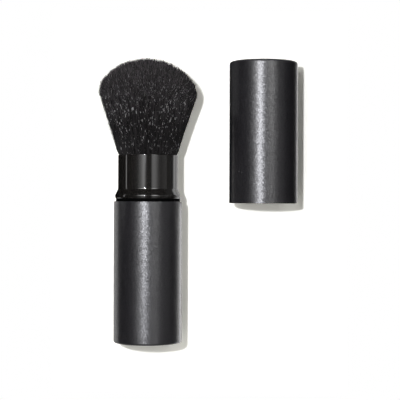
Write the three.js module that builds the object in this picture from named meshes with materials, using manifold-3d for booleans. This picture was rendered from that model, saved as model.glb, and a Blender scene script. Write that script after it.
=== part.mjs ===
// A retractable makeup brush lying on its side, with the cap that was pulled off it lying beside it.
// Turning the handle against the gloss collar draws the tuft down inside the collar, as in a lipstick:
// two lugs on the carrier pass through straight slots in the guide tube and ride in two helical
// grooves inside the spiral sleeve, which is glued into the handle.
// The brush's axis is Y, with y = 0 on the flat closed end of the handle, and Z is up.
// The brush is modelled wound fully out, which is how it lies.
import * as THREE from "three";
import { mergeVertices } from "three/addons/utils/BufferGeometryUtils.js";
import Module from "manifold-3d";

const wasm = await Module();
wasm.setup();

// Driving sizes, in millimetres.

// Clearances
const runGap = 0.2; // beside a piece that turns or slides
const fitGap = 0.15; // round a piece that is glued or pressed in
const endGap = 0.3; // between pieces that meet end to end
const cutOverrun = 1; // how far a cutter runs past what it cuts
const weldReach = 0.0001; // within which two corners of a solid are one

// Handle, a drawn aluminium tube with a closed end
const handleDiameter = 27;
const handleWall = 0.5;
const handleBaseWall = 0.6;
const handleCornerRadius = 1.2;

// End plug, which carries the spiral sleeve
const plugFloor = 1.2;
const plugRimWidth = 1;
const plugRimHeight = 1.4;

// Spiral sleeve, with the two helical grooves
const sleeveWall = 1.35;
const grooveFloor = 0.45; // what is left of the sleeve behind a groove
const sleeveHeadroom = 4.6; // from the lugs' highest place to the sleeve's top
const twistTurns = 1.25;

// Retaining ring, which snaps round the foot of the guide tube
const ringHeight = 0.9;
const ringGrooveDepth = 0.35;
const ringOverhang = 0.6;
const ringSplit = 3;

// Drag washer, which makes the twist stiff
const washerThickness = 0.6;

// Guide tube, with the two straight slots
const guideWall = 1;
const guideFoot = 0.8; // below the ring's groove
const guideMouthBevel = 0.8;
const guideMouthDrop = 2; // below the collar's top edge

// Gloss collar
const collarWall = 0.45;
const collarFitGap = 0.1;
const collarHeight = 17.9;
const collarLipRadius = 0.3;
const skirtGap = 0.3; // between the collar's skirt and the handle's bore
const skirtWall = 0.5;
const skirtLength = 6;
const jointGap = 0.5; // the thin dark line between the handle and the bead

// Bead at the foot of the collar, which the cap snaps over
const beadPlay = 0.1; // between the bead and the cap's bore
const beadWidestHeight = 1.8;
const beadUndercut = 0.45;
const coveHeight = 4.1;
const coveStep = 0.2;
const coveStepHeight = 0.35;

// Carrier, which slides in the guide tube
const carrierWall = 0.75;
const carrierWeb = 1.2;
const carrierPocket = 7.6;
const headFloat = 0.6; // under the carrier when it is wound down
const lugDiameter = 3;
const lugInset = 3; // from the carrier's lower edge to the lugs' middle
const lugTipGap = 0.35;

// Ferrule and the hair's glued root
const ferruleWall = 0.35;
const ferruleLength = 10.1;
const ferruleDrop = 5.7; // from the collar's top edge down to the ferrule's mouth
const backingHeight = 1.2;
const backingDrop = 0.4; // below the ferrule's mouth

// Tuft, four quarters of flared hair with a domed top
const flareRadius = 19.5;
const flareHeight = 23.9; // from the collar's top edge to the widest place
const domeHeight = 13.6; // from the widest place to the tip
const tipRecess = 0.5; // of the tip below the collar's edge when wound down
const lockRootRadius = 0.29;
const lockMouthRadius = 0.36;
const lockFlareRadius = 0.62;
const lockTipRadius = 0.42;
const lockRootInset = 0.5; // from the edge of the glued root to the outermost locks
const lockMargin = 0.12; // kept between a lock and what it passes
const lockEndRise = 1.5; // from the level where locks stop thickening to the widest place
const tipRaggedness = 0.7; // how much shorter the shortest locks of a row are

// Cap, a drawn aluminium tube with a closed end, and its plastic liner
const capWall = 0.4;
const capEndWall = 0.5;
const capLength = 56.2;
const capCornerRadius = 1.2;
const capRimBevel = 0.12;
const linerPlay = 0.15; // between the liner and the collar
const linerEndWall = 1;

// Where the cap lies
const capAside = 46.1; // between the two axes
const capBack = 1.3; // from the handle's rim back to the cap's rim

// Counts and shares
const roundSteps = 40;
const lugSides = 12;
const slotEndSteps = 6;
const cornerSteps = 3;
const beadSteps = 4;
const lockSides = 3;
const lockRows = 10;
const quarters = 4;
const lockRowStartShare = 0.62; // of a pitch, from the axis to the first row
const raggedTurnShare = 0.618; // golden step through the row's heights
const lockLeanShare = 0.96; // of its place at the widest level, where a lock's tip ends

// Worked out from the driving sizes, from the outside in.
const handleRadius = handleDiameter / 2;
const handleBore = handleRadius - handleWall;
const sleeveRadius = handleBore - fitGap;
const sleeveBore = sleeveRadius - sleeveWall;
const grooveRadius = sleeveRadius - grooveFloor;
const guideRadius = sleeveBore - runGap;
const guideBore = guideRadius - guideWall;
const collarBore = guideRadius + collarFitGap;
const collarRadius = collarBore + collarWall;
const carrierRadius = guideBore - runGap;
const carrierBore = carrierRadius - carrierWall;
const ferruleRadius = carrierBore - fitGap;
const ferruleBore = ferruleRadius - ferruleWall;
const rootRadius = ferruleBore - fitGap;
const skirtRadius = handleBore - skirtGap;
const skirtBore = skirtRadius - skirtWall;
const shoulderRadius = skirtBore - fitGap;
const capRadius = handleRadius;
const capBore = capRadius - capWall;
const beadRadius = capBore - beadPlay;
const linerRadius = capBore - fitGap;
const linerBore = collarRadius + linerPlay;
const lugRadius = lugDiameter / 2;
const lugTip = grooveRadius - lugTipGap;

// The stroke hides the whole tuft, and the handle is as long as the stroke needs.
const stroke = flareHeight + domeHeight + tipRecess;
const lead = stroke / twistTurns;
const plugBottom = handleBaseWall + fitGap;
const plugFloorTop = plugBottom + plugFloor;
const plugTop = plugFloorTop + plugRimHeight;
const sleeveBottom = plugTop + endGap;
const ringBottom = sleeveBottom + endGap;
const ringTop = ringBottom + ringHeight;
const sleeveStep = ringTop + endGap;
const guideBottom = ringBottom - fitGap - guideFoot;
const carrierLow = guideBottom + headFloat;
const carrierBottom = carrierLow + stroke;
const lugHigh = carrierBottom + lugInset;
const lugLow = lugHigh - stroke;
const sleeveTop = lugHigh + sleeveHeadroom;
const washerBottom = sleeveTop + runGap;
const washerTop = washerBottom + washerThickness;
const shoulderBottom = washerTop + runGap;
const skirtBottom = shoulderBottom + endGap;
const beadBottom = skirtBottom + skirtLength;
const handleLength = beadBottom - jointGap;
const shoulderTop = beadBottom + beadWidestHeight;
const collarTop = beadBottom + collarHeight;
const guideTop = collarTop - guideMouthDrop;
const ferruleTop = collarTop - ferruleDrop;
const ferruleBottom = ferruleTop - ferruleLength;
const pocketFloor = ferruleBottom - endGap;
const carrierTop = pocketFloor + carrierPocket;
const backingTop = ferruleTop - backingDrop;
const backingBottom = backingTop - backingHeight;
const flareLevel = collarTop + flareHeight;

// Makes a lathe geometry round Y from radius and height pairs, listed anticlockwise.
// A profile that doesn't start on the axis is closed on itself.
function turned(pairs) {
  const points = pairs.map(([radius, height]) => new THREE.Vector2(radius, height));
  if (points[0].x > 0) points.push(points[0].clone());
  return new THREE.LatheGeometry(points, roundSteps);
}

// Points of a round corner about a centre, between two angles in quarter turns.
function corner(centreRadius, centreHeight, radius, fromQuarter, toQuarter) {
  const points = [];
  for (let i = 0; i <= cornerSteps; i++) {
    const angle = (Math.PI / 2) * (fromQuarter + ((toQuarter - fromQuarter) * i) / cornerSteps);
    points.push([
      centreRadius + radius * Math.cos(angle),
      centreHeight + radius * Math.sin(angle),
    ]);
  }
  return points;
}

// Turns a closed geometry into a solid that can be cut and joined.
function solidOf(geometry) {
  const bare = geometry.index ? geometry.toNonIndexed() : geometry.clone();
  bare.deleteAttribute("normal");
  bare.deleteAttribute("uv");
  const merged = mergeVertices(bare, weldReach);
  return new wasm.Manifold(
    new wasm.Mesh({
      numProp: 3,
      vertProperties: merged.attributes.position.array,
      triVerts: new Uint32Array(merged.index.array),
    }),
  );
}

// Turns a solid back into a geometry with flat faces.
function geometryOf(solid) {
  const mesh = solid.getMesh();
  const geometry = new THREE.BufferGeometry();
  geometry.setAttribute("position", new THREE.BufferAttribute(mesh.vertProperties, 3));
  geometry.setIndex(new THREE.BufferAttribute(mesh.triVerts, 1));
  const flat = geometry.toNonIndexed();
  flat.computeVertexNormals();
  return flat;
}

// Skins a list of equal rings of points into one closed solid, with flat ends.
// Each ring runs anticlockwise as seen from the last ring's side.
function skinned(rings) {
  const sides = rings[0].length;
  const positions = rings.flat().flatMap((point) => [point.x, point.y, point.z]);
  const faces = [];
  for (let k = 0; k + 1 < rings.length; k++) {
    for (let i = 0; i < sides; i++) {
      const a = k * sides + i;
      const b = k * sides + ((i + 1) % sides);
      faces.push(a, b, b + sides, a, b + sides, a + sides);
    }
  }
  const last = (rings.length - 1) * sides;
  for (let i = 1; i + 1 < sides; i++) {
    faces.push(0, i + 1, i);
    faces.push(last, last + i, last + i + 1);
  }
  const geometry = new THREE.BufferGeometry();
  geometry.setAttribute("position", new THREE.Float32BufferAttribute(positions, 3));
  geometry.setIndex(faces);
  return geometry;
}

// Materials
const mattBlackMetal = new THREE.MeshStandardMaterial({
  color: 0x232324,
  roughness: 0.45,
  metalness: 0.85,
});
const glossBlackMetal = new THREE.MeshStandardMaterial({
  color: 0x0c0c0d,
  roughness: 0.12,
  metalness: 0.7,
});
const blackPlastic = new THREE.MeshStandardMaterial({
  color: 0x1b1b1c,
  roughness: 0.5,
  metalness: 0,
});
const creamPlastic = new THREE.MeshStandardMaterial({
  color: 0xd9d4c8,
  roughness: 0.45,
  metalness: 0,
});
const paleAluminium = new THREE.MeshStandardMaterial({
  color: 0xb9babd,
  roughness: 0.35,
  metalness: 0.9,
});
const greyRubber = new THREE.MeshStandardMaterial({
  color: 0x4a4a4c,
  roughness: 0.8,
  metalness: 0,
});
const amberGlue = new THREE.MeshStandardMaterial({
  color: 0x8a6a3a,
  roughness: 0.3,
  metalness: 0,
});
const blackHair = new THREE.MeshStandardMaterial({
  color: 0x151414,
  roughness: 0.55,
  metalness: 0,
});

function piece(name, geometry, material) {
  const mesh = new THREE.Mesh(geometry, material);
  mesh.name = name;
  return mesh;
}

// Handle body

function handleShell() {
  const innerCorner = Math.max(handleCornerRadius - handleWall, handleWall);
  return turned([
    [0, 0],
    ...corner(handleRadius - handleCornerRadius, handleCornerRadius, handleCornerRadius, -1, 0),
    [handleRadius, handleLength],
    [handleBore, handleLength],
    ...corner(handleBore - innerCorner, handleBaseWall + innerCorner, innerCorner, 0, -1),
    [0, handleBaseWall],
  ]);
}

function endPlug() {
  const bevel = handleCornerRadius - handleWall;
  return turned([
    [0, plugBottom],
    [sleeveRadius - bevel, plugBottom],
    [sleeveRadius, plugBottom + bevel],
    [sleeveRadius, plugTop],
    [sleeveRadius - plugRimWidth, plugTop],
    [sleeveRadius - plugRimWidth, plugFloorTop],
    [0, plugFloorTop],
  ]);
}

// One helical groove's cutter. The groove climbs the same way as the handle turns, by one lead
// a turn, and ends just past the lug's lowest and highest places.
function grooveCutter(lugAngle) {
  const middleRadius = (sleeveBore + grooveRadius) / 2;
  const slope = Math.atan2(lead, 2 * Math.PI * middleRadius);
  const halfWidth = (lugRadius + runGap) / Math.cos(slope);
  const endAngle = (lugRadius + runGap) / middleRadius;
  const turn = 2 * Math.PI * twistTurns;
  const steps = Math.ceil((roundSteps * (turn + 2 * endAngle)) / (2 * Math.PI));
  const rings = [];
  for (let i = 0; i <= steps; i++) {
    const back = -turn - endAngle + ((turn + 2 * endAngle) * i) / steps;
    const height = lugHigh + (lead * back) / (2 * Math.PI);
    const angle = lugAngle + back;
    const outward = new THREE.Vector3(Math.sin(angle), 0, Math.cos(angle));
    const at = (radius, level) => outward.clone().multiplyScalar(radius).setY(level);
    rings.push([
      at(sleeveBore - cutOverrun, height - halfWidth),
      at(sleeveBore - cutOverrun, height + halfWidth),
      at(grooveRadius, height + halfWidth),
      at(grooveRadius, height - halfWidth),
    ]);
  }
  return solidOf(skinned(rings));
}

// The sleeve hangs over the retaining ring, which is wider than the sleeve's bore.
function spiralSleeve() {
  const ringRoom = guideRadius + ringOverhang + runGap;
  const tube = turned([
    [ringRoom, sleeveBottom],
    [sleeveRadius, sleeveBottom],
    [sleeveRadius, sleeveTop],
    [sleeveBore, sleeveTop],
    [sleeveBore, sleeveStep],
    [ringRoom, sleeveStep],
  ]);
  const grooves = grooveCutter(Math.PI / 2).add(grooveCutter(-Math.PI / 2));
  return geometryOf(solidOf(tube).subtract(grooves));
}

const handle = new THREE.Group();
handle.add(piece("handle_shell", handleShell(), mattBlackMetal));
handle.add(piece("end_plug", endPlug(), blackPlastic));
handle.add(piece("spiral_sleeve", spiralSleeve(), creamPlastic));

// Neck body

// Both slots are cut by one long block with round ends, which runs across the tube along X.
function slotCutter() {
  const half = lugRadius + runGap;
  const shape = new THREE.Shape();
  shape.absarc(0, lugHigh, half, 0, Math.PI, false);
  shape.absarc(0, lugLow, half, Math.PI, 2 * Math.PI, false);
  shape.closePath();
  const length = 2 * (guideRadius + cutOverrun);
  const block = new THREE.ExtrudeGeometry(shape, {
    depth: length,
    bevelEnabled: false,
    curveSegments: slotEndSteps,
  });
  return block.translate(0, 0, -length / 2).rotateY(Math.PI / 2);
}

function guideTube() {
  const groove = guideRadius - ringGrooveDepth;
  const tube = turned([
    [guideBore, guideBottom],
    [guideRadius, guideBottom],
    [guideRadius, ringBottom - fitGap],
    [groove, ringBottom - fitGap],
    [groove, ringTop + fitGap],
    [guideRadius, ringTop + fitGap],
    [guideRadius, shoulderBottom],
    [shoulderRadius, shoulderBottom],
    [shoulderRadius, shoulderTop],
    [guideRadius, shoulderTop],
    [guideRadius, guideTop],
    [guideBore + guideMouthBevel, guideTop],
    [guideBore, guideTop - guideMouthBevel],
  ]);
  return geometryOf(solidOf(tube).subtract(solidOf(slotCutter())));
}

function retainingRing() {
  const inside = guideRadius - ringGrooveDepth + fitGap;
  const outside = guideRadius + ringOverhang;
  const ring = turned([
    [inside, ringBottom],
    [outside, ringBottom],
    [outside, ringTop],
    [inside, ringTop],
  ]);
  const depth = 2 * cutOverrun + outside - inside;
  const split = new THREE.BoxGeometry(ringSplit, ringHeight + 2 * cutOverrun, depth);
  split.translate(0, (ringBottom + ringTop) / 2, (inside + outside) / 2);
  return geometryOf(solidOf(ring).subtract(solidOf(split)));
}

function dragWasher() {
  const inside = guideRadius + fitGap;
  return turned([
    [inside, washerBottom],
    [sleeveRadius, washerBottom],
    [sleeveRadius, washerTop],
    [inside, washerTop],
  ]);
}

// The bead swells from its foot to its widest place, then runs up in a cove to a small step.
function beadOutline() {
  const points = [];
  for (let i = 0; i <= beadSteps; i++) {
    const below = 1 - i / beadSteps;
    points.push([
      beadRadius - beadUndercut * (1 - Math.sqrt(1 - below * below)),
      beadBottom + beadWidestHeight * (1 - below),
    ]);
  }
  const coveRadius = collarRadius + coveStep;
  const swell = beadRadius - coveRadius;
  for (let i = 1; i <= beadSteps; i++) {
    const above = i / beadSteps;
    points.push([
      coveRadius + (swell * (1 + Math.cos(Math.PI * above))) / 2,
      beadBottom + beadWidestHeight + (coveHeight - beadWidestHeight) * above,
    ]);
  }
  return points;
}

function collarShell() {
  const coveTop = beadBottom + coveHeight;
  return turned([
    [skirtBore, skirtBottom],
    [skirtRadius, skirtBottom],
    [skirtRadius, beadBottom],
    ...beadOutline(),
    [collarRadius, coveTop + coveStepHeight],
    ...corner(collarRadius - collarLipRadius, collarTop - collarLipRadius, collarLipRadius, 0, 1),
    [collarBore, collarTop],
    [collarBore, shoulderTop + endGap],
    [skirtBore, shoulderTop + endGap],
  ]);
}

const neck = new THREE.Group();
neck.add(piece("collar_shell", collarShell(), glossBlackMetal));
neck.add(piece("guide_tube", guideTube(), blackPlastic));
neck.add(piece("retaining_ring", retainingRing(), paleAluminium));
neck.add(piece("drag_washer", dragWasher(), greyRubber));

// Brush head body

// The carrier is a piston with a hollow foot, a web, and a pocket that holds the ferrule.
function carrier() {
  const body = turned([
    [0, pocketFloor - carrierWeb],
    [carrierBore, pocketFloor - carrierWeb],
    [carrierBore, carrierBottom],
    [carrierRadius, carrierBottom],
    [carrierRadius, carrierTop],
    [carrierBore, carrierTop],
    [carrierBore, pocketFloor],
    [0, pocketFloor],
  ]);
  let solid = solidOf(body);
  const lugRoot = carrierRadius - carrierWall / 2;
  for (const side of [-1, 1]) {
    const lug = new THREE.CylinderGeometry(lugRadius, lugRadius, lugTip - lugRoot, lugSides);
    lug.rotateZ(Math.PI / 2);
    lug.translate((side * (lugTip + lugRoot)) / 2, lugHigh, 0);
    solid = solid.add(solidOf(lug));
  }
  return geometryOf(solid);
}

// The ferrule's foot is turned in, which keeps the glued root from being pulled through.
function ferrule() {
  const lip = ferruleBore - 2 * ferruleWall;
  return turned([
    [lip, ferruleBottom],
    [ferruleRadius, ferruleBottom],
    [ferruleRadius, ferruleTop],
    [ferruleBore, ferruleTop],
    [ferruleBore, ferruleBottom + ferruleWall],
    [lip, ferruleBottom + ferruleWall],
  ]);
}

function gluePlug() {
  const bottom = ferruleBottom + ferruleWall + fitGap;
  return turned([
    [0, bottom],
    [rootRadius, bottom],
    [rootRadius, backingBottom - endGap],
    [0, backingBottom - endGap],
  ]);
}

// The tuft's outside radius at a level, for locks in the outermost row.
function tuftRadius(level) {
  const outerRoot = rootRadius - lockRootRadius - lockRootInset;
  const mouth = collarBore - lockMouthRadius - lockMargin - collarFitGap;
  const flareFoot = flareLevel - lockEndRise;
  if (level <= collarTop) {
    const up = (level - backingTop) / (collarTop - backingTop);
    return outerRoot + (mouth - outerRoot) * Math.max(up, 0);
  }
  const up = (level - collarTop) / (flareFoot - collarTop);
  return mouth + (flareRadius - lockFlareRadius - mouth) * Math.min(up, 1);
}

// The table presses the lower half of the tuft up to the level of the handle's side.
function pressed(x, level, z) {
  const restHeight = handleRadius - lockFlareRadius - lockMargin;
  const press = Math.min(1, restHeight / tuftRadius(level));
  return new THREE.Vector3(x, level, z < 0 ? z * press : z);
}

// One lock of hair: it rises from the backing, spreads at the collar's mouth and ends on the dome.
function lock(rowShare, angle, shorter) {
  const tipShare = rowShare * lockLeanShare;
  const domeLevel = flareLevel + domeHeight * Math.sqrt(1 - tipShare * tipShare);
  const foot = (backingTop + backingBottom) / 2;
  const tip = Math.max(domeLevel - shorter, flareLevel);
  const stations = [
    [foot, lockRootRadius, rowShare],
    [collarTop, lockMouthRadius, rowShare],
    [flareLevel - lockEndRise, lockFlareRadius, rowShare],
    [tip, lockTipRadius, tipShare],
  ];
  return skinned(
    stations.map(([level, thickness, share]) => {
      const radius = share * tuftRadius(level);
      const middle = pressed(radius * Math.sin(angle), level, radius * Math.cos(angle));
      const ring = [];
      for (let i = 0; i < lockSides; i++) {
        const around = angle + (2 * Math.PI * i) / lockSides;
        ring.push(
          middle.clone().add(
            new THREE.Vector3(thickness * Math.sin(around), 0, thickness * Math.cos(around)),
          ),
        );
      }
      return ring;
    }),
  );
}

// A quarter slice of the hair's glued root, drawn in plan and raised along Y.
function backingSlice(startAngle) {
  const inset = endGap / 2;
  const reach = Math.sqrt(rootRadius * rootRadius - inset * inset);
  const from = Math.atan2(inset, reach);
  const shape = new THREE.Shape();
  shape.moveTo(inset, inset);
  shape.lineTo(reach, inset);
  shape.absarc(0, 0, rootRadius, from, Math.PI / 2 - from, false);
  shape.closePath();
  const slice = new THREE.ExtrudeGeometry(shape, {
    depth: backingHeight,
    bevelEnabled: false,
    curveSegments: Math.ceil(roundSteps / quarters),
  });
  slice.rotateX(Math.PI / 2).translate(0, backingTop, 0);
  return slice.rotateY(startAngle);
}

// A quarter of the tuft. Its rows are rings round the axis, and each ring's locks are evenly
// spaced over the whole circle, half a space away from the cut between two quarters.
function bristleQuarter(index) {
  const startAngle = (2 * Math.PI * index) / quarters;
  const quarterTurn = (2 * Math.PI) / quarters;
  const lastRow = lockRows - 1 + lockRowStartShare;
  let solid = solidOf(backingSlice(startAngle));
  for (let row = 0; row < lockRows; row++) {
    const rowPlace = row + lockRowStartShare;
    const count = Math.max(1, Math.round(quarterTurn * rowPlace));
    for (let i = 0; i < count; i++) {
      const angle = startAngle + (quarterTurn * (i + 1 / 2)) / count;
      const ragged = ((i + row) * raggedTurnShare) % 1;
      const hair = lock(rowPlace / lastRow, angle, tipRaggedness * ragged);
      solid = solid.add(solidOf(hair));
    }
  }
  return geometryOf(solid);
}

const head = new THREE.Group();
head.add(piece("carrier", carrier(), blackPlastic));
head.add(piece("ferrule", ferrule(), paleAluminium));
head.add(piece("glue_plug", gluePlug(), amberGlue));
for (let i = 0; i < quarters; i++) {
  head.add(piece(`bristles_${i + 1}`, bristleQuarter(i), blackHair));
}

// Cap body, drawn with its rim at y = 0 and moved to where it lies

function capShell() {
  const innerCorner = Math.max(capCornerRadius - capWall, capWall);
  const endLevel = capLength - capEndWall;
  return turned([
    [capBore, capRimBevel],
    [capBore + capRimBevel, 0],
    [capRadius - capRimBevel, 0],
    [capRadius, capRimBevel],
    ...corner(capRadius - capCornerRadius, capLength - capCornerRadius, capCornerRadius, 0, 1),
    [0, capLength],
    [0, endLevel],
    ...corner(capBore - innerCorner, endLevel - innerCorner, innerCorner, 1, 0),
  ]);
}

// The liner leaves the cap's mouth bare as deep as the bead and its cove are high.
function capLiner() {
  const mouth = jointGap + coveHeight + coveStepHeight + endGap;
  const top = capLength - capEndWall - fitGap;
  const bevel = capCornerRadius - capWall;
  return turned([
    [linerBore, mouth],
    [linerRadius, mouth],
    [linerRadius, top - bevel],
    [linerRadius - bevel, top],
    [0, top],
    [0, top - linerEndWall],
    [linerBore, top - linerEndWall],
  ]);
}

const cap = new THREE.Group();
cap.position.set(capAside, handleLength - capBack, 0);
cap.add(piece("cap_shell", capShell(), mattBlackMetal));
cap.add(piece("cap_liner", capLiner(), blackPlastic));

const brush = new THREE.Group();
brush.add(handle, neck, head, cap);

export default brush;
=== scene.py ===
# A retractable makeup brush lying beside the cap that was pulled off it.
import math

import bpy
import numpy as np
from mathutils import Matrix, Vector


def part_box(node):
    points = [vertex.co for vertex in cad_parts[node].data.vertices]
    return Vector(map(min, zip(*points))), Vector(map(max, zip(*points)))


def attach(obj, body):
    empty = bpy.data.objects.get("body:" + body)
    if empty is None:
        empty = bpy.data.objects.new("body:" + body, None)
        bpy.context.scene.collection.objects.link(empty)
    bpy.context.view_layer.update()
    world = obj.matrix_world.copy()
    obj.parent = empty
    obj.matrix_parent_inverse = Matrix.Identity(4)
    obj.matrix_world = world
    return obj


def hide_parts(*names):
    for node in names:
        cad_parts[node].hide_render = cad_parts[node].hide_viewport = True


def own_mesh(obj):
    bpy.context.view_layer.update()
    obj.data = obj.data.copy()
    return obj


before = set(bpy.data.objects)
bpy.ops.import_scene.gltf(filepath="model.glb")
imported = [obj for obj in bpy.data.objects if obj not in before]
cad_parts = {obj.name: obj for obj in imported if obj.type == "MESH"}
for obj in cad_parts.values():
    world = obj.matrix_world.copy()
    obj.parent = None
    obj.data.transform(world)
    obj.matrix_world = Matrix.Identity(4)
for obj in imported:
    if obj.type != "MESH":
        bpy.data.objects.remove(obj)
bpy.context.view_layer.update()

# Sizes are in metres. The brush lies along Y, with its closed end at y = 0, and Z is up.
MM = 0.001

# Places and sizes that the frame gives
handle_low, handle_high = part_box("handle_shell")
collar_low, collar_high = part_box("collar_shell")
ferrule_low, ferrule_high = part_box("ferrule")
cap_low, cap_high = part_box("cap_shell")
liner_low, liner_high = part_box("cap_liner")
tuft_boxes = [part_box("bristles_%d" % number) for number in (1, 2, 3, 4)]

HANDLE_RADIUS = (handle_high.x - handle_low.x) / 2
HANDLE_END = handle_high.y
BEAD_RADIUS = (collar_high.x - collar_low.x) / 2
COLLAR_TOP = collar_high.y
SKIRT_END = collar_low.y
FERRULE_TOP = ferrule_high.y
CAP_RADIUS = (cap_high.x - cap_low.x) / 2
CAP_LIFT = 0.7 * MM
CAP_AXIS = (cap_high.x + cap_low.x) / 2 - 0.28 * MM
CAP_RIM = cap_low.y + CAP_LIFT
CAP_END = cap_high.y + CAP_LIFT
LINER_RADIUS = (liner_high.x - liner_low.x) / 2
LINER_FOOT = liner_low.y + CAP_LIFT
LINER_END = liner_high.y + CAP_LIFT
TUFT_WIDEST = max(high.x for low, high in tuft_boxes) - 0.3 * MM
TUFT_TIP = max(high.y for low, high in tuft_boxes) + 0.6 * MM
FLOOR_LEVEL = -HANDLE_RADIUS

# Handle tube
HANDLE_WALL = 0.5 * MM
HANDLE_BASE_WALL = 0.6 * MM
HANDLE_CORNER = 0.9 * MM
RIM_ROUND = 0.07 * MM

# Gloss collar
COLLAR_RADIUS = 11.85 * MM
COLLAR_WALL = 0.45 * MM
COLLAR_LIP = 0.28 * MM
JOINT_GAP = 1.1 * MM
BEAD_WIDEST = 1.15 * MM
BEAD_UNDERCUT = 0.45 * MM
BEAD_ROUND = 1.1 * MM
FLANK_TILT = 25
FILLET = 0.9 * MM
SKIRT_GAP = 0.3 * MM
SKIRT_WALL = 0.5 * MM
SHOULDER_RISE = 0.3 * MM

# Cap
CAP_WALL = 0.4 * MM
CAP_END_WALL = 0.5 * MM
CAP_CORNER = 1.05 * MM
LINER_WALL = 0.95 * MM
LINER_END_WALL = 1.0 * MM
LINER_LEAD = 0.3 * MM

# Tuft
DOME_HEIGHT = 14.3 * MM
MOUTH_RADIUS = 11.35 * MM
LIP_RADIUS = 11.95 * MM
LIP_RISE = 0.7 * MM
ROOT_RADIUS = 8.0 * MM
FLARE_LEVEL = TUFT_TIP - DOME_HEIGHT
FLARE_SAG = 0.25
TABLE_CLEARANCE = 0.3 * MM
TUFT_LEAN = 0.42 * MM
LEAN_RUN = 24 * MM
DOME_TILT = 0.055
WEDGES = 12

# Packed hair under the outer layers, in steps round each wedge and rings along it
CORE_SHARE = 0.86
CORE_STEPS = 6
CORE_RINGS = 18
CORE_OVERLAP = 0.3 * MM
CORE_LEAST_RADIUS = 0.02 * MM

# Hairs stand in small locks, which share a place, a wave and a lean
HAIR_THICKNESS = 0.065 * MM
HAIR_SIDES = 3
OUTER_HAIRS = 1050
OUTER_SHARES = (0.84, 1.0)
OUTER_STATIONS = 14
OUTER_FOOT = COLLAR_TOP - 2 * MM
INNER_HAIRS = 1600
INNER_SHARES = (0.0, 0.9)
INNER_STATIONS = 5
INNER_LENGTHS_MM = (7, 12)
LOCK_HAIRS = 5
LOCK_SHAPE = 1.3
LOCK_SCATTER = 0.3 * MM
LOCK_LEAN = 0.24 * MM
HAIR_RISE = 0.1 * MM
HAIR_SCATTER = 0.38 * MM
HAIR_ASIDE = 0.12 * MM
ROOT_ASIDE_SHARE = 0.25
STRAY_SHARE = 0.065
STRAY_RISES_MM = (0.2, 1.0)
STRAY_ASIDE = 0.55 * MM
FREE_RUN = 12 * MM
WAVE_HEIGHT = 0.13 * MM
WAVE_LENGTHS_MM = (2.6, 4.2)

# The painted glints, bright dashes painted into the hair's colour in place of highlights off its crimp,
# repeat along a hair, at a length that each lock shifts
PAINTED_GLINT_LENGTH = 2.1 * MM
PAINTED_GLINT_SHIFT = 900
LOCK_ID_RANGE = 4000
HAIR_ID_RANGE = 12.0

# How finely outlines are turned and rounded
TURN_STEPS = 160
FINE_STEPS = 8
RIM_STEPS = 3
LEAD_STEPS = 4
LONG_RUN = 1.0 * MM
SUPPORT = 0.06 * MM
SMOOTH_DEGREES = 32


def arc(centre_radius, centre_height, radius, start, end, steps=FINE_STEPS):
    """Points of a round corner, between two angles in quarter turns."""
    points = []
    for i in range(steps + 1):
        angle = math.pi / 2 * (start + (end - start) * i / steps)
        points.append(
            (centre_radius + radius * math.cos(angle), centre_height + radius * math.sin(angle))
        )
    return points


def with_supports(outline):
    """Adds a point close to each end of every long straight run, so that its shading stays flat."""
    points = [outline[0]]
    for (radius, height), (next_radius, next_height) in zip(outline, outline[1:]):
        length = math.hypot(next_radius - radius, next_height - height)
        if length > LONG_RUN:
            for share in (SUPPORT / length, 1 - SUPPORT / length):
                points.append(
                    (
                        radius + (next_radius - radius) * share,
                        height + (next_height - height) * share,
                    )
                )
        points.append((next_radius, next_height))
    return points


def turn(name, outline, axis_x=0.0):
    """Draws an outline of radius and height pairs, and spins it about an axis along Y."""
    outline = with_supports(outline)
    bpy.ops.object.select_all(action="DESELECT")
    bpy.ops.mesh.primitive_plane_add(size=MM)
    piece = bpy.context.object
    piece.name = name
    piece.data.name = name
    bpy.ops.object.mode_set(mode="EDIT")
    bpy.ops.mesh.select_all(action="SELECT")
    bpy.ops.mesh.merge(type="CENTER")
    radius, height = outline[0]
    bpy.ops.transform.translate(value=(axis_x + radius, height, 0))
    for next_radius, next_height in outline[1:]:
        step = (next_radius - radius, next_height - height, 0)
        bpy.ops.mesh.extrude_vertices_move(TRANSFORM_OT_translate={"value": step})
        radius, height = next_radius, next_height
    bpy.ops.mesh.select_all(action="SELECT")
    bpy.ops.mesh.spin(
        steps=TURN_STEPS, angle=2 * math.pi, center=(axis_x, 0, 0), axis=(0, 1, 0)
    )
    bpy.ops.mesh.select_all(action="SELECT")
    bpy.ops.mesh.remove_doubles(threshold=MM / 1000)
    bpy.ops.mesh.normals_make_consistent(inside=False)
    bpy.ops.object.mode_set(mode="OBJECT")
    bpy.ops.object.shade_smooth_by_angle(angle=math.radians(SMOOTH_DEGREES))
    return piece


# Materials. Scales of noise and of facets are in cells a metre.

GRAIN_SCALE = 2700
FACET_SCALE = 3200
FACET_TILT = 0.125
MATT_ROUGHNESS = (0.345, 0.385)
MATT_ANISOTROPY = 0.4
ACROSS_TANGENT = 0.25
MATT_IOR = 1.85
GLOSS_ROUGHNESS = (0.04, 0.055)
GLOSS_IOR = 1.8
HAIR_DARK = ((0.0080, 0.0074, 0.0074), (0.015, 0.0136, 0.0138))
HAIR_LIGHT = ((0.038, 0.035, 0.0355), (0.185, 0.169, 0.172))
HAIR_PALER_FROM = COLLAR_TOP + 10 * MM
HAIR_STRETCH = 0.35
STRAND_EDGES = (0.46, 0.60)
# Painted glints: bright dashes painted into the hair's colour, in place of the highlights off its crimp
PAINTED_GLINT_EDGES = (0.682, 0.692)
PAINTED_GLINT_FULL_FROM = FLARE_LEVEL - 8 * MM
PAINTED_GLINT_COLOUR = (0.95, 0.93, 0.92, 1)

# Sockets of the colour mix node, which have no names of their own
MIX_FIRST = 6
MIX_SECOND = 7
MIX_RESULT = 2


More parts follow.
